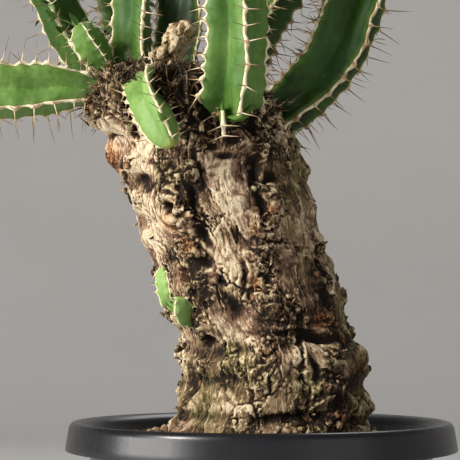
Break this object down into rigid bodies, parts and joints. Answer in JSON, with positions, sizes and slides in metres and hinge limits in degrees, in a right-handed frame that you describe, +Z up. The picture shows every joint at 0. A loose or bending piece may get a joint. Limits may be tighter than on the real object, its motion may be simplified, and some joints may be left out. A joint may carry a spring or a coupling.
{
  "type": "potted caudex euphorbia",
  "caption": "Potted succulent with a thick leaning corky trunk and a crown of ribbed, horn-edged spiny green stems, in a round tapered plastic pot.",
  "frame": {"origin": "centre of the pot's underside, on the plane it stands on", "axes": "+Z up, +X to the right as seen from the plant's front, -Y towards the front"},
  "size_m": [0.2848, 0.18, 0.432],
  "materials": {
    "pot_plastic": "satin black injection-moulded plastic",
    "potting_mix": "matte gritty mix of bark, pumice and peat",
    "corky_bark": "rough peeling corky bark",
    "stem_skin": "smooth waxy green skin",
    "young_skin": "smooth waxy bright green skin",
    "horny_margin": "dry horny cream to brown"
  },
  "bodies": {
    "root": {"pot": "pot_plastic", "soil": "potting_mix", "trunk": "corky_bark", "stem_left_low": "stem_skin", "margins_left_low": "horny_margin", "stem_left_rear": "stem_skin", "margins_left_rear": "horny_margin", "stem_left_mid": "stem_skin", "margins_left_mid": "horny_margin", "stem_front_main": "stem_skin", "margins_front_main": "horny_margin", "stem_rear_right_tall": "stem_skin", "margins_rear_right_tall": "horny_margin", "stem_right_main": "stem_skin", "margins_right_main": "horny_margin", "stem_rear_left": "stem_skin", "margins_rear_left": "horny_margin", "stem_rear_mid": "stem_skin", "margins_rear_mid": "horny_margin", "stem_rear_right_low": "stem_skin", "margins_rear_right_low": "horny_margin", "stem_front_young": "young_skin", "margins_front_young": "horny_margin", "shoot_bulb": "young_skin", "sprout_upper": "young_skin", "sprout_lower": "young_skin"}
  },
  "joints": []
}
